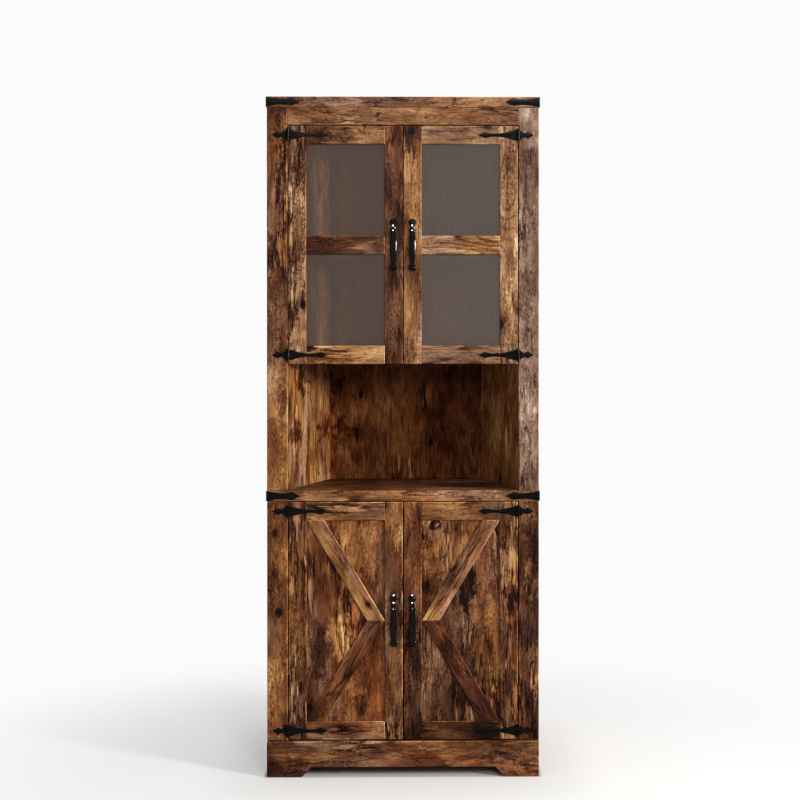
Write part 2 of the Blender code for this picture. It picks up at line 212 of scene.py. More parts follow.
def forged_plate(name, outline):
    """A flat plate in the XZ plane with rounded rims. A point is (x, z), or (x, z, "AUTO") on a curve."""
    curve = bpy.data.curves.new(name, "CURVE")
    curve.dimensions = "2D"
    curve.fill_mode = "BOTH"
    curve.extrude = PLATE_T / 2 - PLATE_EDGE
    curve.bevel_depth = PLATE_EDGE
    curve.bevel_resolution = 2
    curve.offset = -PLATE_EDGE
    curve.resolution_u = 8
    spline = curve.splines.new("BEZIER")
    spline.bezier_points.add(len(outline) - 1)
    spline.use_cyclic_u = True
    for knot, (x, z, *smooth) in zip(spline.bezier_points, outline):
        knot.co = (x, z, 0)
        knot.handle_left_type = knot.handle_right_type = smooth[0] if smooth else "VECTOR"
    mesh = apply_modifiers(add_object(name, curve))
    shape = bmesh.new()
    shape.from_mesh(mesh)
    same_place = 0.00002
    bmesh.ops.remove_doubles(shape, verts=shape.verts, dist=same_place)
    bmesh.ops.rotate(shape, verts=shape.verts, matrix=Matrix.Rotation(pi / 2, 3, "X"))
    return finish_mesh(name, shape)


def mirrored_up(upper):
    """A closed outline from its upper half."""
    return upper + [(x, -z, *smooth) for x, z, *smooth in reversed(upper) if z > 0]


# ---- Materials ----


def srgb(red, green, blue):
    """A linear colour from display values of 0 to 255."""
    display = [value / 255 for value in (red, green, blue)]
    linear = [v / 12.92 if v <= 0.04045 else ((v + 0.055) / 1.055) ** 2.4 for v in display]
    return (*linear, 1.0)


class Nodes:
    """Short calls for building a node tree. An input is a number, a tuple or another node's output."""

    def __init__(self, tree):
        self.tree = tree

    def node(self, kind, inputs, **settings):
        """A new node, set up before its inputs are fed."""
        node = self.tree.nodes.new("ShaderNode" + kind)
        for name, value in settings.items():
            setattr(node, name, value)
        for key, value in inputs.items():
            self.feed(node.inputs[key], value)
        return node

    def feed(self, socket, value):
        if isinstance(value, bpy.types.NodeSocket):
            self.tree.links.new(value, socket)
        else:
            socket.default_value = value

    def add(self, kind, inputs, output=0, **settings):
        return self.node(kind, inputs, **settings).outputs[output]

    def coord(self, kind="Object"):
        return self.add("TexCoord", {}, kind)

    def math(self, operation, *values, clamp=False):
        return self.add("Math", dict(enumerate(values)), operation=operation, use_clamp=clamp)

    def vector(self, operation, *values, output="Vector"):
        return self.add("VectorMath", dict(enumerate(values)), output, operation=operation)

    def chain(self, operation, values):
        total = values[0]
        for value in values[1:]:
            total = self.math(operation, total, value)
        return total

    def plus(self, *values):
        return self.chain("ADD", values)

    def times(self, *values):
        return self.chain("MULTIPLY", values)

    def dot(self, vector, direction):
        return self.vector("DOT_PRODUCT", vector, direction, output="Value")

    def split(self, vector):
        """A vector's x, y and z."""
        return self.node("SeparateXYZ", {0: vector}).outputs

    def remap(self, value, low, high, to_low=0.0, to_high=1.0):
        inputs = {"Value": value, "From Min": low, "From Max": high, "To Min": to_low, "To Max": to_high}
        return self.add("MapRange", inputs, interpolation_type="SMOOTHSTEP")

    def blend(self, share, first, second):
        return self.add("MapRange", {"Value": share, "To Min": first, "To Max": second})

    def noise(self, vector, detail=2.0, roughness=0.5, scale=1.0):
        inputs = {"Vector": vector, "Scale": scale, "Detail": detail, "Roughness": roughness}
        return self.add("TexNoise", inputs)

    def swing(self, vector, detail=2.0, roughness=0.5):
        """Noise about zero."""
        return self.math("SUBTRACT", self.noise(vector, detail, roughness), 0.5)

    def mix(self, factor, first, second, blend="MIX"):
        inputs = {0: factor, 6: first, 7: second}
        return self.add("Mix", inputs, 2, data_type="RGBA", blend_type=blend)

    def tint(self, colour, *factors):
        return self.mix(1.0, colour, (*factors, 1), "MULTIPLY")

    def ramp(self, value, colours):
        node = self.node("ValToRGB", {0: value})
        elements = node.color_ramp.elements
        while len(elements) < len(colours):
            elements.new(0.5)
        for element, position, colour in zip(elements, TONE_STOPS, colours):
            element.position = position
            element.color = srgb(*colour)
        return node.outputs[0]


# The wood's colours from its darkest tone to its palest, in display values.
TONE_STOPS = (0.0, 0.15, 0.3, 0.45, 0.6, 0.75, 0.9, 1.0)
HONEY = (
    (16, 5, 1), (42, 18, 6), (66, 34, 14), (96, 57, 28),
    (126, 84, 46), (158, 114, 66), (190, 147, 94), (218, 180, 126),
)
ASHEN = (
    (20, 10, 7), (44, 26, 19), (68, 45, 35), (96, 70, 56),
    (126, 98, 82), (156, 128, 110), (188, 162, 142), (214, 192, 172),
)


class Grain(Nodes):
    """The tree of the wood pattern, with the group's inputs at hand."""

    def __init__(self, tree):
        super().__init__(tree)
        self.given = tree.nodes.new("NodeGroupInput").outputs

    def plane(self, side, length, shift, x=None, z=None):
        """Texture coordinates that many times denser than a metre, across and along the grain."""
        x = self.given["Across"] if x is None else x
        z = self.given["Along"] if z is None else z
        layer = self.plus(self.times(self.given["Seed"], 3.7), shift)
        return self.add("CombineXYZ", {0: self.times(x, side), 1: self.times(z, length), 2: layer})


def knots(n, wandered):
    """The grain bent round scattered knots, the knots' hearts and the dark halos round them."""
    side, length = 8.0, 3.6
    seed = n.given["Seed"]
    cell_x = n.times(n.plus(wandered, n.times(seed, 0.37)), side)
    cell_z = n.times(n.plus(n.given["Along"], n.times(seed, 0.71)), length)
    spot = n.add("CombineXYZ", {0: cell_x, 1: cell_z})
    cells = n.node("TexVoronoi", {"Vector": spot, "Scale": 1.0}, voronoi_dimensions="2D").outputs
    offset = n.split(n.vector("SUBTRACT", spot, cells["Position"]))
    knot_x = n.times(offset[0], 1 / side)
    knot_z = n.times(offset[1], 1 / length)
    chance = n.node("SeparateColor", {0: cells["Color"]}).outputs
    is_knot = n.remap(chance[0], 0.52, 0.6)
    size = n.blend(chance[1], 0.003, 0.0095)

    squashed = n.plus(n.times(knot_x, knot_x), n.times(knot_z, knot_z, 0.42))
    euler, bulge_reach = 2.718, 0.018
    bulge = n.math("POWER", euler, n.times(squashed, -1 / bulge_reach**2))
    grain = n.math("SUBTRACT", wandered, n.times(knot_x, bulge, is_knot, 0.92))
    ripple = n.times(n.swing(n.plane(150, 110, 5.1)), 0.006)
    ragged = n.math("DIVIDE", n.plus(n.math("SQRT", squashed), ripple), size)
    heart = n.times(n.remap(ragged, 0.75, 1.15, 1, 0), is_knot)
    halo = n.times(n.remap(ragged, 1.0, 3.2, 1, 0), is_knot)
    return grain, heart, halo


def rubbed_and_lit_edges(n, colour, broad):
    """Rubbed edges with painted light: a chamfer's normal lies between the board's axes. The upper and right
    ones are palest, bared wood with a painted highlight, and the others are darkened as painted shade.
    """
    facing = n.coord("Normal")
    axes = n.split(n.vector("ABSOLUTE", facing))
    flatness = n.chain("MAXIMUM", axes)
    edge = n.remap(flatness, 0.985, 0.93, 0, 1)
    # Painted light: chamfers facing up and to the right get a painted highlight, the rest a painted shade.
    lit_side = n.remap(n.dot(facing, (0.62, 0, 0.78)), -0.3, 0.45)
    shaded = n.tint(colour, 0.4, 0.4, 0.4)
    bared_and_highlight = n.mix(1.0, n.tint(colour, 4.8, 4.6, 4.4), srgb(244, 208, 176), "DARKEN")
    rubbed_and_lit = n.mix(lit_side, shaded, bared_and_highlight)
    return n.mix(n.times(edge, n.remap(broad, 0.42, 0.56, 0.5, 1)), colour, rubbed_and_lit)


def new_wood_tree():
    tree = bpy.data.node_groups.new("reclaimed_wood", "ShaderNodeTree")
    for name in ("Across", "Along", "Seed", "Tone", "Ash", "Wear", "Figure", "Contrast", "Torn", "Red"):
        tree.interface.new_socket(name, in_out="INPUT", socket_type="NodeSocketFloat")
    tree.interface.new_socket("Colour", in_out="OUTPUT", socket_type="NodeSocketColor")
    for name in ("Roughness", "Height"):
        tree.interface.new_socket(name, in_out="OUTPUT", socket_type="NodeSocketFloat")
    return tree


def wood_group():
    """The pattern of the reclaimed boards, drawn on a plane: Along is the way of the grain.

    Long patches with ragged ends run from honey to dark chocolate, with streaks, rings, knots, cracks and
    wormy flecks over them, and some stretches weathered to a mauve grey.
    """
    tree = new_wood_tree()
    n = Grain(tree)
    given, plane = n.given, n.plane
    contrast = given["Contrast"]
    wandered = n.plus(given["Across"], n.times(n.swing(plane(5, 2.2, 0.3)), 0.03))
    grain, knot_heart, knot_halo = knots(n, wandered)

    # Patches: each fibre shifts their ends, so that they are ragged.
    fray = n.times(n.swing(plane(170, 14, 1.7, grain), 2, 0.7), 0.14)
    frayed = n.plus(given["Along"], fray)
    broad = n.noise(plane(13, 5.5, 2.9, grain, frayed), 3, 0.6)
    patches = n.remap(broad, 0.38, 0.62, -1, 1)
    blotches = n.remap(n.noise(plane(42, 26, 4.3, grain, frayed), 3, 0.6), 0.36, 0.64, -1, 1)
    scorched = n.remap(n.noise(plane(24, 11, 14.7, grain, frayed), 3, 0.62), 0.57, 0.66)
    streaks = n.swing(plane(110, 22, 5.3, grain, frayed), 3, 0.6)
    fibres = n.swing(plane(360, 26, 6.1, grain), 3, 0.7)
    worn = n.times(n.remap(n.noise(plane(15, 8, 7.7)), 0.38, 0.58, 0.3, 1), given["Wear"])
    broken = n.remap(n.noise(plane(11, 6, 18.9)), 0.4, 0.6, 0.35, 1)
    flecks = n.noise(plane(200, 115, 8.9, grain), 2, 0.8)
    light_flecks = n.times(n.remap(flecks, 0.56, 0.68), worn)
    dark_flecks = n.times(n.remap(flecks, 0.45, 0.36), worn)

    # Torn strips: pale slivers of sound wood between dark tears.
    tear = n.noise(plane(54, 7.5, 15.1, grain, frayed), 3, 0.62)
    torn_zone = n.plus(n.noise(plane(11, 3.4, 16.3)), n.times(given["Torn"], 0.22))
    torn_zone = n.remap(torn_zone, 0.56, 0.66)
    slivers = n.times(n.remap(tear, 0.54, 0.6), torn_zone)
    from_rim = n.math("ABSOLUTE", n.math("SUBTRACT", tear, 0.5))
    tears = n.times(n.remap(from_rim, 0.014, 0.036, 1, 0), torn_zone)

    # Growth rings close into arches where the slow noise outruns the slope across the board.
    phase = n.plus(n.times(grain, 34), n.times(n.noise(plane(10, 3.1, 9.3), 1), 13))
    ring_lines = n.remap(n.math("SINE", n.times(phase, 2 * pi)), 0.35, 1.0)
    rings = n.times(ring_lines, given["Figure"])
    crack_line = n.math("ABSOLUTE", n.swing(plane(42, 2.4, 10.9, grain), 2, 0.4))
    crack_zone = n.remap(n.noise(plane(13, 6, 11.7)), 0.48, 0.58)
    cracks = n.times(n.remap(crack_line, 0.005, 0.014, 1, 0), crack_zone)

    middle_tone = 0.475
    tone = n.plus(
        middle_tone,
        given["Tone"],
        n.times(patches, contrast, 0.13),
        n.times(blotches, 0.09),
        n.times(scorched, contrast, -0.19),
        n.times(streaks, broken, contrast, 0.22),
        n.times(fibres, broken, contrast, 0.42),
        n.times(rings, -0.2),
        n.times(light_flecks, 0.21),
        n.times(dark_flecks, -0.32),
        n.times(slivers, 0.22),
        n.times(tears, -0.36),
        n.times(cracks, -0.22),
        n.times(knot_halo, -0.12),
        n.times(knot_heart, -0.28),
    )
    weathered = n.remap(n.noise(plane(9, 3.1, 12.3, grain, frayed)), 0.46, 0.62)
    greyed = n.plus(n.times(weathered, 0.4), given["Ash"])
    colour = n.mix(greyed, n.ramp(tone, HONEY), n.ramp(tone, ASHEN))
    ruddy = n.remap(n.noise(plane(10, 2.7, 13.9, grain, frayed)), 0.48, 0.66, 0, 0.8)
    ruddy = n.math("ADD", ruddy, given["Red"], clamp=True)
    colour = n.mix(ruddy, colour, n.tint(colour, 1.1, 0.86, 0.78))
    height = n.plus(
        n.times(streaks, 0.8),
        n.times(fibres, 0.7),
        n.times(cracks, -1.2),
        n.times(tears, -0.5),
        n.times(light_flecks, 0.25),
        n.times(dark_flecks, -0.35),
        n.times(knot_heart, -0.3),
    )
    out = tree.nodes.new("NodeGroupOutput").inputs
    n.feed(out["Colour"], rubbed_and_lit_edges(n, colour, broad))
    n.feed(out["Roughness"], n.plus(0.66, n.times(streaks, 0.5), n.times(knot_heart, -0.15)))
    n.feed(out["Height"], height)
    return tree


def empty_tree(owner):
    """The emptied node tree of a material or the world."""
    owner.use_nodes = True
    owner.node_tree.nodes.clear()
    return Nodes(owner.node_tree)


def new_material(name):
    material = bpy.data.materials.new(name)
    return material, empty_tree(material)


def surface(n, **inputs):
    """Closes a material with one Principled shader."""
    shader = n.add("BsdfPrincipled", {name.replace("_", " "): value for name, value in inputs.items()})
    n.node("OutputMaterial", {"Surface": shader})


def bumps(n, height, distance, strength=1.0):
    return n.add("Bump", {"Height": height, "Distance": distance, "Strength": strength})


def grain_way(angle):
    """The grain's direction: so many degrees from upright in the XZ plane."""
    return Vector((sin(radians(angle)), 0, cos(radians(angle))))


def board_tone(n, place, along, ends, tones, stains_and_shade):
    """The tone set along a board between its two ends, changed by its darker and paler places (stains, and
    painted shade in some corners), which have ragged outlines.
    """
    middle = sum(ends) / 2
    low_half = n.remap(along, ends[0], middle, tones[0], tones[1])
    high_half = n.remap(along, middle, ends[1], 0, tones[2] - tones[1])
    tone = n.plus(low_half, high_half)
    even, straying = (0.5, 0.5, 0.5), (0.05, 0.05, 0.14)
    wobble = n.add("TexNoise", {"Vector": place, "Scale": 34.0, "Detail": 2.0}, "Color")
    wobble = n.vector("MULTIPLY", n.vector("SUBTRACT", wobble, even), straying)
    strayed = n.vector("ADD", place, wobble)
    for centre, reach, change in stains_and_shade:
        offset = n.vector("DIVIDE", n.vector("SUBTRACT", strayed, centre), reach)
        distance = n.vector("LENGTH", offset, output="Value")
        tone = n.plus(tone, n.remap(distance, 0.6, 1.2, change, 0))
    return tone


def wood(name, grain, ends, seed, tones, traits):
    """One board's material."""
    material, n = new_material(name)
    place = n.coord()
    along = n.dot(place, tuple(grain))
    across = n.dot(place, (grain.z, 1, -grain.x))

    # On a sawn end the print runs along its longer side.
    facing = n.dot(n.coord("Normal"), tuple(grain))
    on_end = n.math("GREATER_THAN", n.math("ABSOLUTE", facing), 0.9)
    depth = n.dot(place, (0, 1, 0))
    height = n.dot(place, (grain.z, 0, -grain.x))
    inputs = {
        "Across": n.blend(on_end, across, height),
        "Along": n.blend(on_end, along, depth),
        "Seed": seed,
        "Tone": board_tone(n, place, along, ends, tones, STAINS_AND_PAINTED_SHADE.get(name, ())),
        **traits,
    }
    colour, rough, relief = n.node("Group", inputs, node_tree=RECLAIMED).outputs
    normal = bumps(n, relief, 0.0009, 0.8)
    surface(n, Base_Color=colour, Roughness=rough, Normal=normal, Specular_IOR_Level=0.12)
    return material


def iron_material(name, roughness, hammered, gloss):
    """Black lacquer over iron, with shallow hammer marks."""
    material, n = new_material(name)
    place = n.coord()
    hammer = n.noise(place, 1, 0.4, 170.0)
    grit = n.noise(place, 3, 0.6, 1400.0)
    colour = n.mix(n.remap(hammer, 0.35, 0.7), srgb(6, 5, 5), srgb(15, 13, 12))
    height = n.plus(n.times(hammer, hammered), n.times(grit, 0.06 * hammered))
    rough = n.plus(roughness, n.times(grit, 0.06))
    normal = bumps(n, height, 0.0006, 0.6)
    surface(n, Base_Color=colour, Roughness=rough, Normal=normal, Specular_IOR_Level=gloss)
    return material


def steel_material():
    """Zinc-plated steel of the pins, nails, catch poles and strike plates."""
    material, n = new_material("zinc_steel")
    grit = n.noise(n.coord(), 3, 0.6, 900.0)
    colour = n.mix(grit, srgb(150, 150, 146), srgb(196, 196, 190))
    surface(n, Base_Color=colour, Roughness=n.plus(0.28, n.times(grit, 0.2)), Metallic=0.9)
    return material


def plastic_material():
    """Brown plastic of the catches and the pane clips."""
    material, n = new_material("brown_plastic")
    grit = n.noise(n.coord(), 2, 0.5, 700.0)
    colour = n.mix(grit, srgb(58, 38, 28), srgb(72, 48, 36))
    surface(n, Base_Color=colour, Roughness=0.5, Normal=bumps(n, grit, 0.0001))
    return material


def glass_material(name, tint_and_painted_reflection):
    """Clear glass with a smoky film, whose colour is partly the glass's own tint and partly a painted
    reflection of the room: it shows the shelves dimly and mirrors the room.
    """
    material, n = new_material(name)
    surface(n, Base_Color=tint_and_painted_reflection, Roughness=0.05, Alpha=0.5, Specular_IOR_Level=0.5)
    return material


# ---- Wood ----

BRACE_LEAN = degrees(atan2(0.161, 0.267))


def look(angle, tones, ash, wear, figure=0.15, **traits):
    """A board's grain, its tones along it (from the bottom or the left), and the pattern's other inputs."""
    return angle, tones, {"Ash": ash, "Wear": wear, "Figure": figure, "Contrast": 1.0, **traits}


upright, level = partial(look, 0), partial(look, 90)

# Each board has a seed by its place in this list.
BOARDS = {
    "top_board": level((0.1, 0.12, 0.12), 0.3, 0.6, 0.2, Red=0.3),
    "header_rail": level((0.12, 0.18, 0.16), 0.2, 0.6, 0.3, Red=0.1),
    "counter_board": level((0.05, 0.14, 0.13), 0.1, 0.8),
    "plinth_board": level((0.02, 0, -0.07), 0.1, 0.8, 0.3),
    "hutch_stile_left": upright((0.2, 0.04, -0.16), 0, 1, Contrast=0.5, Torn=0.1, Red=0.3),
    "hutch_stile_right": upright((0.1, 0.08, 0.22), 1, 0.8, Contrast=0.8, Red=-0.8),
    "base_stile_left": upright((-0.02, 0, 0), 0, 1, Contrast=0.8, Torn=-0.3, Red=0.2),
    "base_stile_right": upright((-0.16, -0.18, -0.1), 0.15, 1, Torn=0.2, Red=0.1),
    "hutch_side_left": upright((0.16, 0.18, 0.14), 0, 0.8, 0.9),
    "hutch_side_right": upright((0.26, 0.24, 0.22), -0.3, 0.6, 0.5, Red=0.3),
    "base_side_left": upright((0, 0, 0), 0, 0.8),
    "base_side_right": upright((0, 0, 0), 0, 0.8),
    "hutch_back": upright((-0.05, -0.04, -0.04), -0.3, 0.3, 0.2, Contrast=0.6, Red=0.7),
    "base_back": upright((-0.04, -0.04, -0.04), 0, 0.6),
    "fixed_shelf": level((-0.04, -0.04, -0.04), 0, 0.6),
    "upper_shelf": level((0.06, 0.06, 0.06), 0, 0.6),
    "lower_shelf": level((0, 0, 0), 0, 0.6),
    "base_bottom": level((-0.04, -0.04, -0.04), 0, 0.6),
    "barn_door_left_slab": upright((-0.05, -0.03, -0.03), 0, 0.6, 0.3, Contrast=0.75, Torn=0.2, Red=0.35),
    "barn_door_left_hinge_stile": upright((0.12, -0.03, -0.09), -0.1, 0.6, Torn=1.2, Red=-0.4),
    "barn_door_left_meeting_stile": upright((-0.15, 0.03, 0.12), 0, 0.8, Contrast=0.8, Torn=0.3, Red=0.1),
    "barn_door_left_top_rail": level((0.09, 0.11, 0.09), 0, 0.6),
    "barn_door_left_bottom_rail": level((0.04, 0.06, 0), 0.1, 0.6),
    "barn_door_left_upper_brace": look(-BRACE_LEAN, (0.16, 0.08, 0.02), 0, 0.5),
    "barn_door_left_lower_brace": look(BRACE_LEAN, (-0.16, -0.08, 0.02), 0, 0.5, Red=0.5),
    "barn_door_right_slab": upright((-0.08, -0.02, 0.1), 0, 0.7, 0.3, Contrast=0.9, Torn=0.7, Red=-0.3),
    "barn_door_right_hinge_stile": upright((0, -0.02, 0.08), 0.1, 0.7, Torn=0.9),
    "barn_door_right_meeting_stile": upright((-0.28, -0.12, -0.02), 0.1, 0.8, Red=0.3),
    "barn_door_right_top_rail": level((0.08, 0.1, 0.04), 0.1, 0.6),
    "barn_door_right_bottom_rail": level((-0.26, -0.26, -0.26), 0.1, 0.6),
    "barn_door_right_upper_brace": look(BRACE_LEAN, (0.2, 0.06, 0.12), 0, 0.5),
    "barn_door_right_lower_brace": look(-BRACE_LEAN, (-0.34, -0.24, -0.05), 0.1, 0.5, Red=0.5),
    "glass_door_left_hinge_stile": upright((0.24, 0.06, -0.05), 0, 1.3, 0.4, Torn=0.6),
    "glass_door_left_meeting_stile": upright((-0.17, -0.17, -0.2), 0.1, 0.8, Red=0.2),
    "glass_door_left_top_rail": level((-0.02, 0.06, 0.05), 0.15, 0.8, Contrast=1.2, Red=-0.8),
    "glass_door_left_middle_rail": level((-0.14, -0.11, -0.12), 0.1, 0.6),
    "glass_door_left_bottom_rail": level((0.2, 0.24, 0.2), 0, 0.6, Contrast=0.7, Red=-0.5),
    "glass_door_right_hinge_stile": upright((0.06, 0.32, 0.16), 0.3, 1, 0.6, Red=-0.5),
    "glass_door_right_meeting_stile": upright((0.11, 0.15, 0.11), 0.1, 0.8, Red=-0.5),
    "glass_door_right_top_rail": level((0.28, 0.27, 0.22), 0.1, 0.6, Red=-0.5),
    "glass_door_right_middle_rail": level((0.24, 0.24, 0.29), 0, 0.6, 1, Red=-0.5),
    "glass_door_right_bottom_rail": level((0.04, -0.01, 0), 0.3, 0.6, Red=-0.4),
}

ANY = 1.0


def on_face(y, rows):
    """Darker and paler places on a face at that depth, from (x, z, reach in x, reach in z, change of tone).
    """
    return [((x, y, z), (wide, ANY, high), change) for x, z, wide, high, change in rows]


# Darker and paler places that stand out: centre, reach each way, and change of tone. Those down the hutch's
# back corners and over the back of the niche floor are painted shade.
STAINS_AND_PAINTED_SHADE = {
    "hutch_side_left": (
        ((-0.3, -0.1, 0.9), (ANY, 0.055, 0.036), -0.36),
        ((-0.27, 0.04, 0.9), (ANY, 0.035, 0.045), 0.14),
        ((-0.23, 0.17, 0.8), (ANY, 0.05, 0.05), -0.12),
        ((-0.27, -0.05, 1.045), (ANY, 0.055, 0.035), -0.32),
        ((-0.23, 0.17, 0.915), (ANY, 0.04, 0.028), -0.3),
        ((-0.29, -0.05, 0.831), (ANY, 0.012, 0.01), -0.3),
        ((-0.28, -0.02, 0.98), (ANY, 0.09, 0.06), 0.03),
    ),
    "hutch_back": on_face(0.196, [
        (-0.185, 0.9, 0.038, 0.02, -0.22), (-0.2, 1.035, 0.026, 0.03, -0.22),
        (-0.2, 0.8, 0.02, 0.05, -0.14), (0.12, 0.85, 0.12, 0.08, -0.03),
        (-0.11, 0.9, 0.12, 0.13, 0.05), (0.12, 0.92, 0.11, 0.2, -0.08),
        # Painted shade: dark strips down the hutch's two back corners, where the sides meet the back.
        (-0.212, 1.44, 0.022, 0.3, -0.3), (0.212, 1.44, 0.022, 0.3, -0.3),
    ]),
    # Painted shade: the niche floor darker towards the back, in the recess under the hutch.
    "counter_board": [((0, 0.1, 0.757), (ANY, 0.24, ANY), -0.12)],
    "barn_door_left_slab": on_face(-0.168, [
        (-0.149, 0.642, 0.024, 0.04, 0.12), (-0.085, 0.645, 0.02, 0.03, 0.1),
        (-0.1, 0.52, 0.04, 0.08, 0.06), (-0.12, 0.672, 0.011, 0.018, -0.24),
        (-0.106, 0.536, 0.008, 0.01, -0.3), (-0.2, 0.494, 0.03, 0.042, -0.08),
        (-0.222, 0.34, 0.026, 0.09, -0.2), (-0.166, 0.365, 0.034, 0.07, 0.38),
        (-0.13, 0.25, 0.02, 0.06, 0.12), (-0.118, 0.185, 0.022, 0.016, -0.18),
    ]),
    "barn_door_right_slab": on_face(-0.168, [
        (0.088, 0.658, 0.019, 0.019, -0.42), (0.12, 0.6, 0.046, 0.06, 0.15),
        (0.057, 0.6, 0.006, 0.06, 0.2), (0.072, 0.509, 0.046, 0.024, -0.18),
        (0.172, 0.496, 0.022, 0.06, -0.44), (0.23, 0.42, 0.016, 0.08, 0.12),
        (0.216, 0.361, 0.032, 0.07, -0.1),
    ]),
    "barn_door_right_hinge_stile": on_face(-0.17, [(0.285, 0.485, 0.018, 0.048, -0.34)]),
    "glass_door_left_top_rail": on_face(-0.174, [
        (-0.152, 1.687, 0.014, 0.005, -0.34), (-0.109, 1.711, 0.007, 0.008, -0.24),
        (-0.19, 1.722, 0.036, 0.005, -0.24),
    ]),
    "hutch_stile_right": on_face(-0.17, [
        (0.33, 1.66, ANY, 0.09, -0.14), (0.33, 1.18, ANY, 0.09, 0.12),
        (0.33, 1.02, ANY, 0.09, 0.1), (0.33, 0.86, ANY, 0.09, -0.08),
        (0.325, 1.225, 0.012, 0.05, -0.16), (0.33, 1.64, 0.014, 0.03, -0.12),
    ]),
    "header_rail": on_face(-0.17, [
        (-0.065, 1.739, 0.009, 0.006, -0.3), (0.06, 1.745, 0.008, 0.006, -0.26),
        (-0.15, 1.748, 0.012, 0.005, -0.22),
    ]),
    "top_board": on_face(-0.18, [
        (-0.064, 1.788, 0.009, 0.006, -0.3), (0.14, 1.788, 0.03, 0.006, -0.18),
    ]),
    "plinth_board": on_face(-0.18, [(-0.32, 0.01, 0.07, 0.05, -0.16)]),
    "base_stile_left": on_face(-0.17, [
        (-0.33, 0.65, ANY, 0.06, 0.06), (-0.33, 0.44, ANY, 0.1, -0.07),
        (-0.33, 0.23, ANY, 0.07, 0.18),
    ]),
    "base_stile_right": on_face(-0.17, [(0.33, 0.58, ANY, 0.1, -0.12)]),
    "hutch_stile_left": on_face(-0.17, [
        (-0.33, 1.66, ANY, 0.09, 0.14), (-0.33, 1.5, ANY, 0.08, 0.08),
        (-0.33, 1.34, ANY, 0.09, -0.15), (-0.33, 1.18, ANY, 0.08, -0.08),
        (-0.33, 1.02, ANY, 0.09, 0.12), (-0.33, 0.86, ANY, 0.09, -0.1),
        (-0.317, 1.6, 0.01, 0.07, -0.24), (-0.318, 0.985, 0.01, 0.03, -0.26),
    ]),
}


def dress(obj, board):
    """Gives a board its own stretch of the wood pattern."""
    angle, tones, traits = BOARDS[board]
    seed = 1.0 + list(BOARDS).index(board) * 1.618
    grain = grain_way(angle)
    reach = [grain.dot(vertex.co) for vertex in obj.data.vertices]
    obj.data.materials.clear()
    obj.data.materials.append(wood(board, grain, (min(reach), max(reach)), seed, tones, traits))
    # Flat faces stay flat, and the narrow chamfers between them shade as round edges.
    obj.data.shade_smooth()
    normals = obj.modifiers.new("even_normals", "WEIGHTED_NORMAL")
    normals.weight = 100


def carcass_boards():
    """The CAD boards stay. Welded, their flats and chamfers shade as one worn solid."""
    for board in BOARDS:
        if board in NODES:
            weld = NODES[board].modifiers.new("weld", "WELD")
            weld.merge_threshold = 0.00001
            dress(NODES[board], board)


def framed_door(door, side):
    """The five boards of a glazed door, rebated at the back for the pane."""
    low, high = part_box(f"{door}_frame")
    pane_low, pane_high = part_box(f"{door}_pane")
    stile, rail, middle_rail, rebate, worn = 0.047, 0.048, 0.049, 0.007, 0.0013
    middle = (low.z + high.z) / 2
    hinge_x, meeting_x = (low.x, high.x) if side < 0 else (high.x, low.x)
    inner = sorted((hinge_x - side * stile, meeting_x + side * stile))
    spans = {
        "hinge_stile": (sorted((hinge_x, hinge_x - side * stile)), (low.z, high.z)),
        "meeting_stile": (sorted((meeting_x, meeting_x + side * stile)), (low.z, high.z)),
        "top_rail": (inner, (high.z - rail, high.z)),
        "middle_rail": (inner, (middle - middle_rail / 2, middle + middle_rail / 2)),
        "bottom_rail": (inner, (low.z, low.z + rail)),
    }
    rebate_low = (pane_low.x - GAP, pane_low.y - GAP, pane_low.z - GAP)
    rebate_high = (pane_high.x + GAP, high.y + rebate, pane_high.z + GAP)
    for name, (across, up) in spans.items():
        board = f"{door}_{name}"
        blank = box_mesh(board, (across[0], low.y, up[0]), (across[1], high.y, up[1]))
        cutter = box_mesh("rebate", rebate_low, rebate_high)
        mesh = boolean(board, blank, [("DIFFERENCE", cutter)])
        obj = round_edges(add_object(board, mesh), worn)
        dress(obj, board)
        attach(obj, door)
        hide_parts(f"{door}_frame")


# ---- Ironwork ----


def barrel(shape, low, high):
    """A stretch of a hinge's barrel with softened rims."""
    soft = 0.0004
    rim = BARREL_R - soft
    lathe(shape, [(rim, low), (BARREL_R, low + soft), (BARREL_R, high - soft), (rim, high)], 28)


def upright_plate(name, outline, y):
    mesh = forged_plate(name, mirrored_up(outline))
    mesh.transform(Matrix.Translation((0, y, 0)))
    return mesh


def leaf_mesh():
    """The stile's half of a hinge, pointing to -X: a spear, the middle knuckle and the pin's two ends."""
    half = KNUCKLE_H / 2
    tab, root_z = half - GAP, BARREL_H / 2 - GAP
    spear = [(-0.0012, tab), (-0.0047, tab), (-0.0047, root_z)]
    spear += [(-0.0155, 0.0056, "AUTO"), (-0.0255, 0.0092), (-0.042, 0)]
    head = -(BARREL_H / 2 + GAP)
    pin = [(0.001, head - 0.0036), (0.0024, head - 0.0031), (0.003, head - 0.002)]
    pin += [(0.0026, head - 0.0008), (0.0018, head - 0.0004), (0.0028, head), (PIN_R, head + GAP)]
    pin += [(radius, -z) for radius, z in reversed(pin)]
    steps = [
        ("UNION", solid("knuckle", lambda shape: barrel(shape, -half, half))),
        ("UNION", solid("pin", lambda shape: lathe(shape, pin, 20))),
    ]
    return boolean("hinge_leaf", upright_plate("hinge_leaf", spear, BARREL_R - PLATE_T / 2), steps)


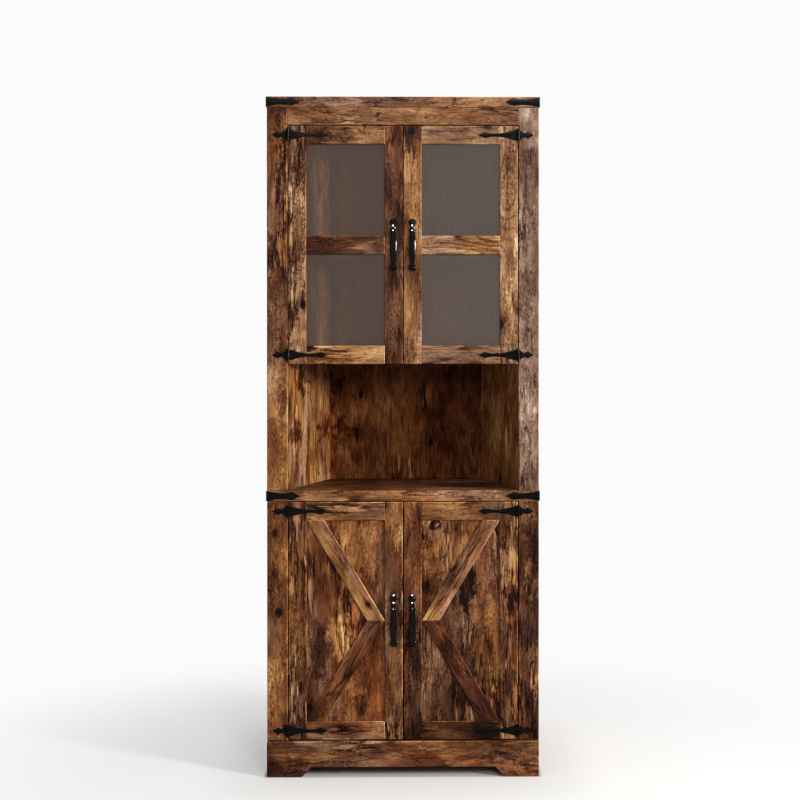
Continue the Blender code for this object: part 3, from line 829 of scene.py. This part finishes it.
def strap_mesh():
    """The door's half of a hinge, pointing to +X: a long arrow and the two outer knuckles."""
    low, root_z = KNUCKLE_H / 2 + GAP, BARREL_H / 2
    arrow = [(0.0047, low + GAP), (0.0012, low + GAP), (0.0012, root_z - GAP)]
    arrow += [(0.0065, root_z - GAP, "AUTO"), (0.03, 0.0078, "AUTO"), (0.052, 0.0046, "AUTO")]
    arrow += [(0.071, 0.0046, "AUTO"), (0.088, 0.0084), (0.106, 0)]
    bore = [(BORE_R, -BARREL_H), (BORE_R, BARREL_H)]
    steps = [
        ("UNION", solid("knuckle_top", lambda shape: barrel(shape, low, root_z))),
        ("UNION", solid("knuckle_low", lambda shape: barrel(shape, -root_z, -low))),
        ("DIFFERENCE", solid("bore", lambda shape: lathe(shape, bore, 20))),
    ]
    return boolean("hinge_strap", upright_plate("hinge_strap", arrow, BARREL_R - PLATE_T / 2), steps)


def bracket_mesh():
    """A barbed corner bracket from a slab's front left corner: a front plate and a short return."""
    front_y = -(GAP + PLATE_T)
    half_h, back_y = 0.0135, 0.018
    barb = [(front_y, half_h), (0.034, 0.0078, "AUTO"), (0.056, 0.0086, "AUTO"), (0.066, 0.011), (0.089, 0)]
    plate = upright_plate("corner_bracket", barb, front_y + PLATE_T / 2)
    side = box_mesh("return", (front_y, front_y, -half_h), (front_y + PLATE_T, back_y, half_h))
    side_obj = round_edges(add_object("return", side), PLATE_EDGE)
    # The return's screw sits in a countersink, flush with the plate.
    sink = [(0.0028, -0.0012), (0.0034, 0.001)]
    outward = Matrix.Translation((front_y, SIDE_SCREW_Y, 0)) @ Matrix.Rotation(-pi / 2, 4, "Y")
    cutter = solid("sink", lambda shape: lathe(shape, sink, 20, outward))
    steps = [("UNION", apply_modifiers(side_obj)), ("DIFFERENCE", cutter)]
    return boolean("corner_bracket", plate, steps)


def screw_mesh():
    """A pan-head screw with a cross recess. Its head rises along +Z from 0."""
    radius, rim, root, crown, steps = 0.0025, 0.0002, -0.0006, 0.0002, 6
    dome = [(radius, root), (radius, rim)]
    for step in range(1, steps + 1):
        angle = pi / 2 * step / steps
        dome.append((max(radius * cos(angle), crown), rim + (SCREW_H - rim) * sin(angle)))
    slot, reach, floor, above = 0.00032, 0.0014, 0.00045, 2 * SCREW_H
    cross = [
        ("DIFFERENCE", box_mesh("slot", (-reach, -slot, floor), (reach, slot, above))),
        ("DIFFERENCE", box_mesh("slot", (-slot, -reach, floor), (slot, reach, above))),
    ]
    return boolean("screw", solid("screw", lambda shape: lathe(shape, dome, 20)), cross)


def scatter(name, mesh, spots):
    """One mesh that holds a copy of another at each spot: (place, direction its +Z faces, twist)."""
    shape = bmesh.new()
    for place, facing, twist in spots:
        turn = Vector(facing).to_track_quat("Z", "Y").to_matrix().to_4x4()
        copy = mesh.copy()
        copy.transform(Matrix.Translation(place) @ turn @ Matrix.Rotation(twist, 4, "Z"))
        shape.from_mesh(copy)
        bpy.data.meshes.remove(copy)
    return finish_mesh(name, shape)


def pull_profile(beaded):
    """(z, y, radius) down one half of a bow pull, from its rosette to the middle of the grip."""
    post_z, reach = 0.06, 0.034
    neck, taper = 0.005, 0.0046 if beaded else 0.0054
    rosette = [(-GAP, 0.0094), (-0.0008, ROSETTE_R), (-0.0021, ROSETTE_R), (-0.0028, 0.0093)]
    rosette += [(-0.0032, 0.0082), (-0.004, 0.0066), (-0.0054, 0.0055), (-0.008, neck)]
    profile = [(post_z, y, radius) for y, radius in rosette]
    grip_y = GRIP_R - reach
    bend_y = grip_y + BEND_R
    steps = 10
    for step in range(steps + 1):
        angle = pi / 2 * step / steps
        profile.append((post_z - BEND_R * (1 - cos(angle)), bend_y - BEND_R * sin(angle), neck))
    grip_top = post_z - BEND_R
    rounds = 8
    if beaded:
        bead_z, bead_h = post_z - COLLAR_DROP, 0.0044
        for step in range(rounds + 1):
            angle = pi * step / rounds
            profile.append((bead_z + bead_h * cos(angle), grip_y, taper + (GRIP_R - taper) * sin(angle)))
        grip_top = bead_z - bead_h
    for step in range(1, rounds + 1):
        share = step / rounds
        radius = taper + (GRIP_R - taper) * sin(pi / 2 * share) ** 0.8
        profile.append((grip_top * (1 - share), grip_y, radius))
    return profile


def pull_mesh():
    """A bow pull with a bead at the top of its oval grip, which is wider than it is deep."""
    lower = pull_profile(beaded=False)
    route = pull_profile(beaded=True) + [(-z, y, radius) for z, y, radius in reversed(lower[:-1])]
    points = [Vector((0, y, z)) for z, y, _ in route]
    across = Vector((1, 0, 0))
    widening, wide_z, fullness = 0.6, 0.056, 0.3
    rings = []
    for i, (z, _, radius) in enumerate(route):
        ahead, behind = points[min(i + 1, len(points) - 1)], points[max(i - 1, 0)]
        tangent = (ahead - behind).normalized()
        swell = 1 + widening * max(0.0, 1 - abs(z) / wide_z) ** fullness
        rings.append(ring(points[i], across * swell, across.cross(tangent), radius, 24))
    return solid("pull", lambda shape: skin_rings(shape, rings))


def stand_for(name, mesh, node, location, turned, material):
    """A finer piece in a CAD node's place, on the same body."""
    obj = add_object(name, mesh, location, turned)
    obj.data.materials.clear()
    obj.data.materials.append(material)
    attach(obj, BODY_OF[node])
    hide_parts(node)
    return obj


def fasteners(name, mesh, spots, body, material, location=(0, 0, 0), turned=False):
    """A group of small pieces on one body."""
    obj = add_object(name, scatter(name, mesh, spots), location, turned)
    obj.data.materials.append(material)
    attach(obj, body)


def screw_spots(places, y):
    """Spots for screws seen from the front, each with its own twist: places are (x, z)."""
    return [((x, y, z), (0, -1, 0), 0.7 * i + 0.3) for i, (x, z) in enumerate(places)]


def hinge(node, door, turned, leaf, strap):
    """One hinge: its leaf on the stile and its strap on the door, each with its screws."""
    low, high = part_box(f"{node}_leaf")
    at = (low.x + BARREL_R if turned else high.x - BARREL_R, HINGE_Y, (low.z + high.z) / 2)
    plate_y = BARREL_R - PLATE_T
    leaf_spots = screw_spots([(-0.0098, 0.007), (-0.0098, -0.007), (-0.0265, 0)], plate_y)
    strap_spots = screw_spots([(0.0125, 0.0072), (0.0125, -0.0072), (0.05, 0), (0.088, 0)], plate_y)
    for half, mesh in (("leaf", leaf), ("strap", strap)):
        stand_for(f"{node}_{half}_forged", mesh, f"{node}_{half}", at, turned, IRON)
    fasteners(f"{node}_leaf_screws", SCREW, leaf_spots, "carcass", IRON, at, turned)
    fasteners(f"{node}_strap_screws", SCREW, strap_spots, door, IRON, at, turned)


def bracket(node, board, turned, mesh):
    """One corner bracket, with two screws in its front plate and one in its return."""
    low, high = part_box(board)
    at = (high.x if turned else low.x, low.y, (low.z + high.z) / 2)
    spots = screw_spots([(0.016, 0), (0.066, 0)], -(GAP + PLATE_T))
    spots.append(((SCREW_H - GAP - PLATE_T, SIDE_SCREW_Y, 0), (-1, 0, 0), 0.4))
    stand_for(f"{node}_forged", mesh, node, at, turned, IRON)
    fasteners(f"{node}_screws", SCREW, spots, "carcass", IRON, at, turned)


def pull(door, mesh):
    low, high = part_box(f"{door}_pull")
    at = ((low.x + high.x) / 2, FACE_Y, (low.z + high.z) / 2)
    cast = stand_for(f"{door}_pull_cast", mesh, f"{door}_pull", at, False, LACQUER)
    PULLS.objects.link(cast)


def ironwork():
    """The doors' hinges and pulls, then the brackets. Right-hand pieces are left-hand ones turned round."""
    leaf, strap, bow, corner = leaf_mesh(), strap_mesh(), pull_mesh(), bracket_mesh()
    for kind in ("glass_door", "barn_door"):
        for side, where in SIDES:
            door = f"{kind}_{where}"
            hinge(f"{door}_top_hinge", door, side > 0, leaf, strap)
            hinge(f"{door}_bottom_hinge", door, side > 0, leaf, strap)
            pull(door, bow)
    for board in ("top", "counter"):
        for side, where in SIDES:
            bracket(f"{board}_bracket_{where}", f"{board}_board", side > 0, corner)


# ---- Fittings inside ----


def fitting(name, boxes, body, material, rim=0.0, segments=2):
    """A small piece made of boxes, each (low corner, high corner), with its rims rounded."""
    shape = bmesh.new()
    for low, high in boxes:
        add_box(shape, low, high)
    obj = add_object(name, finish_mesh(name, shape))
    if rim:
        round_edges(obj, rim, segments)
    obj.data.materials.append(material)
    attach(obj, body)


def panes():
    """The right-hand pane's smoky colour is a little paler and cooler, a painted difference in reflection
    between two panes of the same glass.
    """
    for where, tint_and_painted_reflection in (("left", srgb(87, 74, 67)), ("right", srgb(93, 84, 78))):
        pane = NODES[f"glass_door_{where}_pane"]
        pane.data.materials.clear()
        pane.data.materials.append(glass_material(f"smoky_glass_{where}", tint_and_painted_reflection))
        pane.visible_shadow = False
        PANES.objects.link(pane)


def pane_clips():
    """Turn clips on the back of each glazed door, which hold the pane in its rebate."""
    long, broad, thick = 0.022, 0.012, 0.0018
    from_pane, to_screw = 0.004, 0.006
    for _, where in SIDES:
        door = f"glass_door_{where}"
        low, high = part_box(f"{door}_pane")
        back_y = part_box(f"{door}_frame")[1].y
        heights = (low.z + 0.07, low.z + 0.19, high.z - 0.19, high.z - 0.07)
        places = [(x, z, out_x, 0) for x, out_x in ((low.x, -1), (high.x, 1)) for z in heights]
        places += [((low.x + high.x) / 2, z, 0, out_z) for z, out_z in ((low.z, -1), (high.z, 1))]
        boxes, screws = [], []
        for x, z, out_x, out_z in places:
            out = Vector((out_x, 0, out_z))
            centre = Vector((x, back_y + GAP + thick / 2, z)) + out * from_pane
            size = Vector((long if out_x else broad, thick, broad if out_x else long))
            boxes.append((centre - size / 2, centre + size / 2))
            screws.append((centre + out * to_screw + Vector((0, thick / 2, 0)), BACKWARD, 0.5))
        fitting(f"{door}_pane_clips", boxes, door, PLASTIC, 0.0006)
        fasteners(f"{door}_clip_screws", SCREW, screws, door, STEEL)


def block(x, half, front, back, low, high):
    """A box's two corners: so far each side of x, from front to back and from low to high."""
    return (x - half, front, low), (x + half, back, high)


def catch(door, x, low_z, top_z):
    """A magnetic catch with two steel poles, and the strike plate it holds."""
    case_half, case_depth, pole_half, strike_half = 0.021, 0.014, 0.017, 0.018
    proud, sheet = 0.0004, 0.0008
    front_y, strike_y = FRAME_BACK_Y + 0.0016, FRAME_BACK_Y + GAP
    case = block(x, case_half, front_y, front_y + case_depth, low_z, top_z)
    fitting(f"{door}_catch", [case], "carcass", PLASTIC, 0.0012, 3)
    poles = [
        block(x, pole_half, front_y - proud, front_y + 0.004, z - sheet, z + sheet)
        for z in (low_z + 0.004, low_z + 0.009)
    ]
    fitting(f"{door}_catch_poles", poles, "carcass", STEEL)
    strike = block(x, strike_half, strike_y, strike_y + sheet, low_z + 0.001, low_z + 0.0125)
    fitting(f"{door}_strike", [strike], door, STEEL, 0.0003)


def catches():
    """One behind the top of each door. Those of the glazed doors reach up behind the header rail."""
    from_middle, below_door_top = 0.045, 0.016
    for kind, panel, top_z in (
        ("glass_door", "frame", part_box("header_rail")[0].z + 0.012),
        ("barn_door", "slab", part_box("counter_board")[0].z - GAP),
    ):
        for side, where in SIDES:
            door = f"{kind}_{where}"
            low_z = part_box(f"{door}_{panel}")[1].z - below_door_top
            catch(door, side * from_middle, low_z, top_z)


def shelf_pins():
    """Four turned pins under each loose shelf, set in the slanted sides."""
    profile = [(0.002, -0.008), (0.0025, -0.0075), (0.0025, 0.006), (0.002, 0.0065)]
    peg = solid("peg", lambda shape: lathe(shape, profile, 16))
    wall, below = 0.0155, 0.0028
    for shelf, wall_board in (("upper_shelf", "hutch_side_right"), ("lower_shelf", "base_side_right")):
        shelf_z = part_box(shelf)[0].z - below
        low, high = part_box(wall_board)
        # The side's inner face runs from the frame's inner corner to its back inner corner.
        front_x, back_x = high.x - wall, low.x
        spots = []
        for share in (0.16, 0.86):
            x = front_x + (back_x - front_x) * share
            y = low.y + (high.y - low.y) * share
            spots += [((side * x, y, shelf_z), (-side, 0, 0), 0) for side, _ in SIDES]
        fasteners(f"{shelf}_pins", peg, spots, "carcass", STEEL)


def back_nails():
    """Flat-headed nails round the edge of each back panel."""
    profile = [(0.0022, -0.001), (0.0022, 0.0), (0.0019, 0.00012)]
    head = solid("nail", lambda shape: lathe(shape, profile, 14))
    inset, rows, columns = 0.009, 8, 4
    for panel in ("hutch_back", "base_back"):
        low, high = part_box(panel)
        rise = high.z - low.z - 2 * inset
        places = []
        for row in range(rows):
            z = low.z + inset + rise * row / (rows - 1)
            places += [(x, high.y, z) for x in (low.x + inset, high.x - inset)]
        for column in range(1, columns):
            x = low.x + (high.x - low.x) * column / columns
            places += [(x, high.y, z) for z in (low.z + inset, high.z - inset)]
        fasteners(f"{panel}_nails", head, [(place, BACKWARD, 0) for place in places], "carcass", STEEL)


# ---- Studio ----


def floor_glow_and_painted_shadow(n, place):
    """The floor's own glow, which fades towards the cabinet's foot and is gone under it: a painted contact
    shadow round and under the cabinet.
    """
    axes = n.split(n.vector("ABSOLUTE", place))
    beside = n.math("MAXIMUM", n.plus(axes[0], -CAD_BOX[1].x), 0)
    before = n.math("MAXIMUM", n.times(n.plus(axes[1], FACE_Y), 0.5), 0)
    clear = n.math("SQRT", n.plus(n.times(beside, beside), n.times(before, before)))
    return n.plus(n.remap(clear, 0, 0.01, 0, 0.28), n.remap(clear, 0, 0.2, 0, 0.1))


def floor():
    """A pale disc that fades out into the white surroundings."""
    radius, below_feet = 4.5, 0.0002
    shape = bmesh.new()
    bmesh.ops.create_circle(shape, cap_ends=True, segments=96, radius=radius)
    obj = add_object("studio_floor", finish_mesh("studio_floor", shape), (0, 0, -below_feet))
    material, n = new_material("studio_floor")
    place = n.coord()
    distance = n.vector("LENGTH", place, output="Value")
    surface(
        n,
        Base_Color=(0.62, 0.615, 0.605, 1),
        Roughness=0.9,
        Specular_IOR_Level=0.1,
        Emission_Color=(1, 1, 1, 1),
        Emission_Strength=floor_glow_and_painted_shadow(n, place),
        Alpha=n.remap(distance, 0.5, 1.6, 1, 0),
    )
    obj.data.materials.append(material)
    obj.visible_glossy = False


def surroundings():
    """White to look at, dimmer as a light and dimmer still in a gloss."""
    world = bpy.data.worlds.new("studio")
    bpy.context.scene.world = world
    n = empty_tree(world)
    path = n.node("LightPath", {}).outputs
    seen = n.blend(path["Is Camera Ray"], 0.5, 0.965)
    mirrored = n.blend(path["Is Glossy Ray"], 1, 0.3)
    light = n.add("Background", {"Color": (1, 1, 1, 1), "Strength": n.times(seen, mirrored)})
    n.node("OutputWorld", {"Surface": light})


def area_light(name, location, target, size, power, colour=(1, 1, 1), lights=True, mirrored=True):
    data = bpy.data.lights.new(name, "AREA")
    data.shape = "DISK"
    data.size = size
    data.energy = power
    data.color = colour
    obj = add_object(name, data, location)
    obj.rotation_euler = (Vector(target) - Vector(location)).to_track_quat("-Z", "Y").to_euler()
    obj.visible_diffuse = lights
    obj.visible_glossy = mirrored
    return obj


def lights():
    """A warm key from the right and a fill, and lights that only show as gloss on the iron and the edges."""
    warm = (1, 0.97, 0.93)
    front = (0, -0.2, 1.0)
    from_right = ((3.4, -2.5, 1.7), (0, 0, 1.1), 0.7, 165, warm)
    key = area_light("key", *from_right, mirrored=False)
    area_light("fill", (0.9, -4.0, 1.9), (0, 0, 1.3), 0.9, 55, mirrored=False)
    area_light("rim", (3.4, -0.75, 1.7), front, 0.5, 90, lights=False)
    area_light("spark", (0.5, -2.6, 3.6), front, 0.4, 90, lights=False)
    softbox = area_light("softbox", (-0.3, -3.0, 3.2), front, 1.2, 900, lights=False)
    softbox.light_linking.receiver_collection = PULLS

    # The panes get the key light evenly, with no shadow of their frames.
    even = area_light("pane_key", *from_right, mirrored=False)
    even.light_linking.receiver_collection = PANES
    even.light_linking.blocker_collection = PANES
    rest = bpy.data.collections.new("all_but_panes")
    for pane in PANES.objects:
        rest.objects.link(pane)
    for entry in rest.collection_objects:
        entry.light_linking.link_state = "EXCLUDE"
    key.light_linking.receiver_collection = rest


def camera():
    data = bpy.data.cameras.new("camera")
    data.lens = 69.3
    data.shift_x = -0.076
    data.shift_y = -0.05
    obj = add_object("camera", data, (0.0995, -4.254, 1.13))
    obj.rotation_euler = (radians(89.63), 0, radians(-0.75))
    bpy.context.scene.camera = obj


camera()
surroundings()
floor()
bpy.context.scene.view_settings.view_transform = "Standard"

# Groups that some lights keep to.
PULLS = bpy.data.collections.new("pulls")
PANES = bpy.data.collections.new("panes")

RECLAIMED = wood_group()
IRON = iron_material("black_iron", 0.3, 1.0, 0.2)
LACQUER = iron_material("black_lacquer", 0.04, 0.06, 0.5)
STEEL = steel_material()
PLASTIC = plastic_material()
SCREW = screw_mesh()

carcass_boards()
for door_side, door_where in SIDES:
    framed_door(f"glass_door_{door_where}", door_side)
ironwork()
panes()
pane_clips()
catches()
shelf_pins()
back_nails()
lights()
